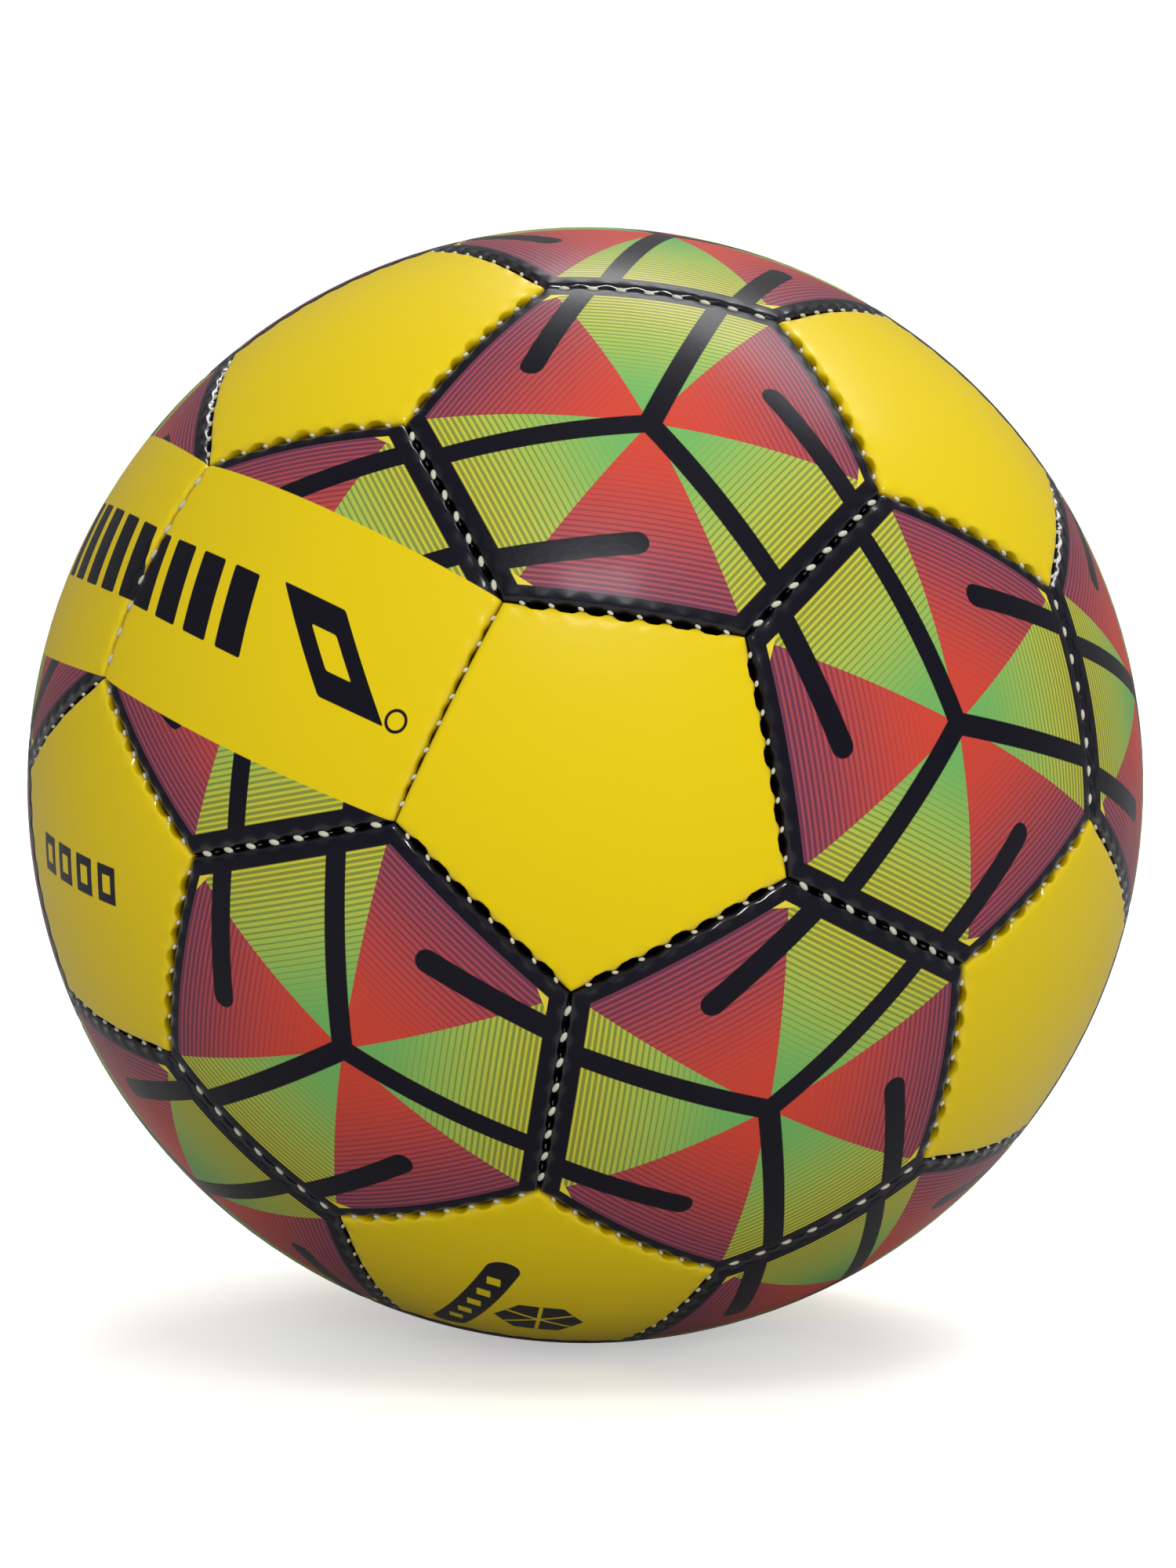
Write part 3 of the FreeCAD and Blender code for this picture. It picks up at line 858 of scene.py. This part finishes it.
def finish_blank(piece, flat):
    mesh = edit(piece, "FACE")
    bpy.ops.mesh.select_all(action="SELECT")
    bpy.ops.mesh.normals_make_consistent(inside=False)
    if sum(f.normal.dot(f.calc_center_median()) for f in mesh.faces) < 0:
        bpy.ops.mesh.flip_normals()
    done(piece)
    map_print(piece, flat)
    thicken(piece)
    return piece


# The valve's hole is cut before the sheet gets its thickness, so one blank is kept for it.
only(blank)
bpy.ops.object.duplicate(linked=False)
valve_blank = named("blank_valve")

finish_blank(blank, HEXAGON)
print("hexagon sheet:", len(blank.data.polygons), "faces,", f"{check_outward(blank):.0%} outward")

# %% [markdown]
# The pentagon is made the same way from its own outline. A second one has a side that is sewn tight,
# without gaps: it goes where the plain band runs on from a hexagon to the front pentagon.

# %% Pentagon blank
pentagon_blank = dome(PENTAGON)
add_rim(pentagon_blank, PENTAGON)
only(pentagon_blank)
bpy.ops.object.duplicate(linked=False)
front_blank = named("blank_front")
gape(front_blank, PENTAGON, closed_side=0)
finish_blank(front_blank, PENTAGON)
gape(pentagon_blank, PENTAGON)
finish_blank(pentagon_blank, PENTAGON)
print("pentagon sheet:", len(pentagon_blank.data.polygons), "faces")


# %% [markdown]
# ## Valve panel
# One hexagon has a round hole at its middle for the valve. The middle of the sheet is taken out, and
# the free edge is extruded and drawn on to a circle. The circle is then scaled down to the hole's
# size, step by step, and its last steps turn the edge down.

# %% Valve hole
HOLE_CLEARED = 8.2 * MM  # what is taken out, before the hole is drawn again
HOLE_PROFILE = ((7.0, 0), (5.6, 0), (5.0, 0), (4.72, 0.1), (4.6, 0.35), (4.6, 1.2))  # radius, depth


def hole_height(radius, depth):
    """Height over the ball's centre of a ring of the hole, from its radius and depth in metres."""
    return math.sqrt((BALL - depth) ** 2 - radius**2)


def open_hole(piece):
    edit(piece, "VERT")
    select_vertices(piece, lambda v: math.hypot(v.co.x, v.co.y) < HOLE_CLEARED)
    bpy.ops.mesh.delete(type="VERT")
    edge = select_vertices(piece, lambda v: v.is_boundary and v.co.length > BALL - 0.3 * MM)
    profile = [(radius * MM, hole_height(radius * MM, depth * MM)) for radius, depth in HOLE_PROFILE]
    bpy.ops.mesh.extrude_edges_move()
    mesh = bmesh.from_edit_mesh(piece.data)
    for vertex in mesh.verts:
        if vertex.select:
            across = Vector((vertex.co.x, vertex.co.y, 0)).normalized() * profile[0][0]
            vertex.co = (across.x, across.y, profile[0][1])
    bmesh.update_edit_mesh(piece.data)
    for (radius, height), (next_radius, next_height) in zip(profile, profile[1:]):
        wide, high = next_radius / radius, next_height / height
        bpy.ops.mesh.extrude_edges_move()
        bpy.ops.transform.resize(value=(wide, wide, high), center_override=(0, 0, 0))
    return edge


edge_points = open_hole(valve_blank)
done(valve_blank)
finish_blank(valve_blank, HEXAGON)
print("valve hole edge:", edge_points, "points,", len(valve_blank.data.polygons), "faces")

# %% [markdown]
# ## All 32 panels
# Each copy is turned to its place in the CAD model. A hexagon's print has a top side, where the map's
# +Y points: it faces a pentagon. On most hexagons that is any of its three pentagons, because the
# print repeats every third of a turn. The two banner panels face theirs on purpose.

# %% Place the panels
def neighbour(centre, others, rank=0):
    """Direction of the panel that is nearest to centre, or the next nearest by rank."""
    return sorted(others, key=lambda direction: -direction.dot(centre))[rank]


def nearest(covers, azimuth, elevation):
    """Name of the cover that lies nearest to an azimuth from -Y towards +X and an elevation, in degrees."""
    a, e = math.radians(azimuth), math.radians(elevation)
    way = Vector((math.sin(a) * math.cos(e), -math.cos(a) * math.cos(e), math.sin(e)))
    return min(covers, key=lambda name: (covers[name] - way).length)


FRONT_WAY = PENTAGONS[FRONT]
UPPER_LEFT = nearest(HEXAGONS, 326, 20)
FAR_LEFT = nearest(HEXAGONS, 281, 27)
VALVE_PANEL = nearest(HEXAGONS, 200, 27)
BANNER_END = PENTAGONS[nearest(PENTAGONS, 240, 20)]
print("banner on", UPPER_LEFT, "and", FAR_LEFT, "- valve in", VALVE_PANEL)

TIGHT_SIDE = Vector((math.cos(first_side(PENTAGON)), math.sin(first_side(PENTAGON)), 0))
panels = {}
for name, centre in HEXAGONS.items():
    towards = neighbour(centre, PENTAGONS.values())
    if name == UPPER_LEFT:
        towards = FRONT_WAY
    if name == FAR_LEFT:
        towards = BANNER_END
    source = valve_blank if name == VALVE_PANEL else blank
    panels[name] = copy_at(source, name.replace("cover", "panel"), turn_to(centre, towards))
for name, centre in PENTAGONS.items():
    towards = neighbour(centre, [way for way in PENTAGONS.values() if way != centre])
    source = pentagon_blank
    if name != FRONT and centre.dot(FRONT_WAY) > 0.4:
        towards = FRONT_WAY
    if name == FRONT:
        source = front_blank
        around = [way for way in PENTAGONS.values() if 0.4 < way.dot(centre) < 0.5]
        towards = max(around, key=lambda way: (turn_to(centre, way) @ TIGHT_SIDE).dot(HEXAGONS[UPPER_LEFT]))
    panels[name] = copy_at(source, name.replace("cover", "panel"), turn_to(centre, towards))
for unused in (blank, valve_blank, pentagon_blank, front_blank):
    only(unused)
    bpy.ops.object.delete()
print(len(panels), "panels placed")


# %% [markdown]
# Each panel takes its finish and stands for the CAD cover it was copied to. The panels without marks
# share two finishes, one for each kind, and the four with marks have their own.

# %% Finish the panels
LEFT_PENTAGON = nearest(PENTAGONS, 299, -6)
LOW_PENTAGON = nearest(PENTAGONS, 348, -56)
SPECIAL = {
    UPPER_LEFT: COVER_BANNER,
    FAR_LEFT: COVER_BANNER_FAR,
    LEFT_PENTAGON: COVER_SMALL_BARS,
    LOW_PENTAGON: COVER_PILL,
}
for name, piece in panels.items():
    kind = "hexagon" if name in HEXAGONS else "pentagon"
    piece.data.materials[0] = SPECIAL.get(name, COVER_PRINTED if kind == "hexagon" else COVER_PLAIN)
    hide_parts(name)
    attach(piece, "ball")
print("finished", len(panels), "panels")

# %% [markdown]
# ## Stitches
# Where the seam is drawn together, a short length of thread shows between the two rims. It lies
# slanted, because the machine's two threads cross there. One stitch is shaped, eight of them make
# a seam, and the seam is copied to every place where two covers meet.

# %% Stitches
STITCH_DEPTH = 0.7 * MM
PENTAGON_STITCH = (1.3 * MM, 0.75 * MM, 0.75 * MM, 24)  # length, width, height, slant in degrees
HEXAGON_STITCH = (2.3 * MM, 1.1 * MM, 0.9 * MM, 20)


def stitch(length, width, height, slant):
    """One visible length of thread, along Y on the ball's top."""
    bpy.ops.mesh.primitive_uv_sphere_add(segments=10, ring_count=6, radius=1, location=(0, 0, 0))
    piece = named("stitch")
    bpy.ops.transform.resize(value=(width / 2, length / 2, height / 2))
    bpy.ops.object.transform_apply(location=False, rotation=False, scale=True)
    bpy.ops.transform.rotate(value=math.radians(slant), orient_axis="Z", center_override=(0, 0, 0))
    bpy.ops.transform.translate(value=(0, 0, BALL - STITCH_DEPTH))
    bpy.ops.object.transform_apply(location=True, rotation=True, scale=True)
    bpy.ops.object.shade_smooth()
    return piece


def seam_row(one):
    """Eight stitches along Y, about the ball's centre."""
    row = []
    for number in range(STITCHES):
        angle = (number - (STITCHES - 1) / 2) * STITCH_STEP
        row.append(copy_at(one, f"stitch_{number}", Quaternion((1, 0, 0), -angle)))
    only(row[0])
    for piece in row[1:]:
        piece.select_set(True)
    bpy.ops.object.join()
    only(one)
    bpy.ops.object.delete()
    return row[0]


def sew(row, name, pairs):
    """The row copied to every seam between two panels, as one piece."""
    sewn = []
    for number, (first, second, first_tilt, second_tilt) in enumerate(pairs):
        middle = (first * math.sin(second_tilt) + second * math.sin(first_tilt)).normalized()
        along = first.cross(second).normalized()
        sewn.append(copy_at(row, f"row_{number}", turn_to(middle, middle + along)))
    only(sewn[0])
    for piece in sewn[1:]:
        piece.select_set(True)
    bpy.ops.object.join()
    piece = named(name)
    only(row)
    bpy.ops.object.delete()
    piece.data.materials.clear()
    piece.data.materials.append(THREAD)
    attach(piece, "ball")
    return piece


def adjoining(first_panels, second_panels, angle):
    """Pairs of panels whose directions are this far apart."""
    pairs = []
    for one in first_panels:
        for other in second_panels:
            if abs(one.angle(other) - angle) < 0.01:
                pairs.append((one, other))
    return pairs


pentagon_pairs = [
    (one, other, PENTAGON.tilt, HEXAGON.tilt)
    for one, other in adjoining(PENTAGONS.values(), HEXAGONS.values(), PENTAGON.tilt + HEXAGON.tilt)
]
ways = list(HEXAGONS.values())
hexagon_pairs = [
    (ways[i], ways[j], HEXAGON.tilt, HEXAGON.tilt)
    for i in range(len(ways))
    for j in range(i)
    if abs(ways[i].angle(ways[j]) - 2 * HEXAGON.tilt) < 0.01
]
stitches = [
    sew(seam_row(stitch(*PENTAGON_STITCH)), "pentagon_seam_stitches", pentagon_pairs),
    sew(seam_row(stitch(*HEXAGON_STITCH)), "hexagon_seam_stitches", hexagon_pairs),
]
for piece in stitches:
    print(piece.name, len(piece.data.polygons), "faces")
print(len(pentagon_pairs), "and", len(hexagon_pairs), "seams")

# %% [markdown]
# ## Studio
# A white sheet lies under the ball and curves up behind it. The room is evenly bright, and dimmer in
# reflections. Two lamps make no gloss: a large one in front, for a gentle fall of light to the ball's
# rim, and one above it. A lamp behind the ball lights its upper rim, and a small one makes only
# gloss, on the rolled edges. The sheet glows a little to the camera, which keeps the shadow pale, and
# is darker to everything else, so it throws little light up at the ball.

# %% Studio
FLOOR_Z = -BALL
SHEET_GLOW = 0.42
SHEET_TO_BALL = (0.42, 0.42, 0.42, 1)  # the sheet's colour for all rays but the camera's
ROOM, ROOM_IN_GLOSS = 0.72, 0.2


def backdrop():
    """A white sheet that lies flat, then curves up into a wall."""
    bend, reach, wall = 1.2, 2.2, 4.0
    bpy.ops.mesh.primitive_plane_add(size=1, location=(0, 0, 0))
    piece = named("studio_sheet")
    bpy.ops.transform.resize(value=(14, 7.2, 1))
    bpy.ops.transform.translate(value=(0, reach - 3.6, FLOOR_Z))
    bpy.ops.object.transform_apply(location=True, rotation=True, scale=True)
    edit(piece, "EDGE")
    select_vertices(piece, lambda v: v.co.y > reach - 0.01)
    steps = 16
    for step in range(steps):
        turn = math.pi / 2 * (step + 0.5) / steps
        length = bend * math.pi / 2 / steps
        bpy.ops.mesh.extrude_edges_move(
            TRANSFORM_OT_translate={"value": (0, length * math.cos(turn), length * math.sin(turn))}
        )
    bpy.ops.mesh.extrude_edges_move(TRANSFORM_OT_translate={"value": (0, 0, wall)})
    done(piece)
    bpy.ops.object.shade_smooth()
    return piece


SHEET_WHITE = bpy.data.materials.new("studio_white")
SHEET_WHITE.use_nodes = True
net = Net(SHEET_WHITE.node_tree)
shader = SHEET_WHITE.node_tree.nodes["Principled BSDF"]
place = net.node("ShaderNodeTexCoord").outputs["Object"]
seen = net.node("ShaderNodeLightPath").outputs["Is Camera Ray"]
white = net.mix(net.noise(place, 3.0), (0.95, 0.95, 0.95, 1), (0.97, 0.97, 0.97, 1))
net.join(net.mix(seen, SHEET_TO_BALL, white), shader.inputs["Base Color"])
net.join(net.mix(seen, (0, 0, 0, 1), (1, 1, 1, 1)), shader.inputs["Emission Color"])
shader.inputs["Emission Strength"].default_value = SHEET_GLOW
shader.inputs["Roughness"].default_value = 0.9
shader.inputs["Specular IOR Level"].default_value = 0.1
sheet = backdrop()
sheet.data.materials.append(SHEET_WHITE)


def lamp(name, place, size, power):
    data = bpy.data.lights.new(name, "AREA")
    data.shape, data.size, data.size_y, data.energy = "RECTANGLE", size[0], size[1], power
    light = bpy.data.objects.new(name, data)
    bpy.context.collection.objects.link(light)
    light.location = place
    light.rotation_euler = (-Vector(place)).to_track_quat("-Z", "Y").to_euler()
    return light


high_lamp = lamp("softbox_above", (0.13, -1.2, 1.7), (0.8, 0.4), 7)
high_lamp.visible_glossy = False
rim_lamp = lamp("rim_light", (0.1, -1.5, 1.45), (0.5, 0.35), 22)
rim_lamp.visible_diffuse = False
lamp("back_light", (0.5, 0.9, 1.6), (1.6, 0.5), 20)
front_lamp = lamp("front_light", (0.5, -2.6, 0.45), (1.6, 1.2), 34)
front_lamp.visible_glossy = False
world = bpy.data.worlds.new("studio_room")
world.use_nodes = True
net = Net(world.node_tree)
room = world.node_tree.nodes["Background"]
room.inputs["Color"].default_value = (1, 1, 1, 1)
mirrored = net.node("ShaderNodeLightPath").outputs["Is Glossy Ray"]
in_gloss = net.math("MULTIPLY", mirrored, ROOM - ROOM_IN_GLOSS)
net.join(net.math("SUBTRACT", ROOM, in_gloss), room.inputs["Strength"])
bpy.context.scene.world = world
bpy.context.scene.view_settings.view_transform = "Standard"
bpy.context.scene.view_settings.look = "None"
